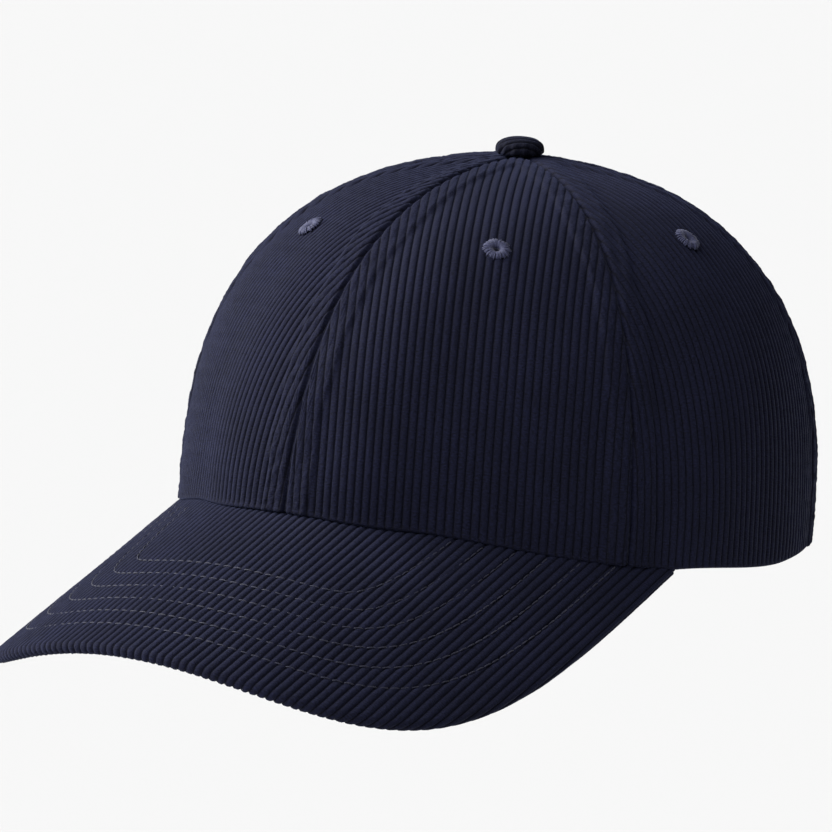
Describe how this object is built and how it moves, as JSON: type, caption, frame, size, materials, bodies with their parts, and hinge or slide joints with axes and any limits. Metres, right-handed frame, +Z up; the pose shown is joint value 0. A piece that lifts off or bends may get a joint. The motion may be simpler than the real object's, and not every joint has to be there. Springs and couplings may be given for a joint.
{
  "type": "baseball cap",
  "caption": "Corduroy six-panel baseball cap with a curved visor, worked eyelets, a covered top button and a cloth strap with a cam buckle at the back.",
  "frame": {"origin": "centre of the head opening, in the plane of the crown's lower edge at its sides and back", "axes": "+Z up through the crown, -Y towards the visor, +X towards the wearer's left"},
  "size_m": [0.183, 0.2787, 0.1393],
  "materials": {
    "corduroy_navy": "cotton corduroy, about 11 wales to the inch, brushed pile",
    "eyelet_thread": "shiny embroidery thread, a lighter navy",
    "buckram_white": "stiff open-weave buckram",
    "sweatband_twill": "cotton twill",
    "interlining_white": "non-woven interlining",
    "visor_board_plastic": "moulded polyethylene board",
    "button_metal": "pressed aluminium",
    "seam_tape_twill": "twill bias tape",
    "buckle_metal": "aged brass, brushed",
    "care_label_satin": "woven satin ribbon, blank"
  },
  "bodies": {
    "cap": {"back_facing": "seam_tape_twill", "buckle_frame": "buckle_metal", "buckle_loop": "corduroy_navy", "buckle_pin": "buckle_metal", "button_cover": "corduroy_navy", "button_rivet": "button_metal", "button_shell": "button_metal", "button_washer": "button_metal", "care_label": "care_label_satin", "eyelet_back_left": "eyelet_thread", "eyelet_back_right": "eyelet_thread", "eyelet_front_left": "eyelet_thread", "eyelet_front_right": "eyelet_thread", "eyelet_side_left": "eyelet_thread", "eyelet_side_right": "eyelet_thread", "front_buckram_left": "buckram_white", "front_buckram_right": "buckram_white", "panel_back_left": "corduroy_navy", "panel_back_right": "corduroy_navy", "panel_front_left": "corduroy_navy", "panel_front_right": "corduroy_navy", "panel_side_left": "corduroy_navy", "panel_side_right": "corduroy_navy", "seam_tape_back_left": "seam_tape_twill", "seam_tape_back_right": "seam_tape_twill", "seam_tape_centre": "seam_tape_twill", "seam_tape_front_left": "seam_tape_twill", "seam_tape_front_right": "seam_tape_twill", "sweatband": "sweatband_twill", "sweatband_interlining": "interlining_white", "visor_board": "visor_board_plastic", "visor_seam_allowance": "corduroy_navy", "visor_top_cover": "corduroy_navy", "visor_under_cover": "corduroy_navy"},
    "lever": {"buckle_lever": "buckle_metal"},
    "strap": {"closure_strap": "corduroy_navy"}
  },
  "joints": [
    {"name": "lever_hinge", "type": "hinge", "parent": "cap", "child": "lever", "pos_m": [-0.01971, 0.08957, 0.012], "axis": [0, 0, 1], "range_deg": [0, 95]},
    {"name": "strap_slide", "type": "hinge", "parent": "cap", "child": "strap", "pos_m": [-0.0068, -0.0171, 0.012], "axis": [0, 0, 1], "range_deg": [-7, 9]}
  ]
}
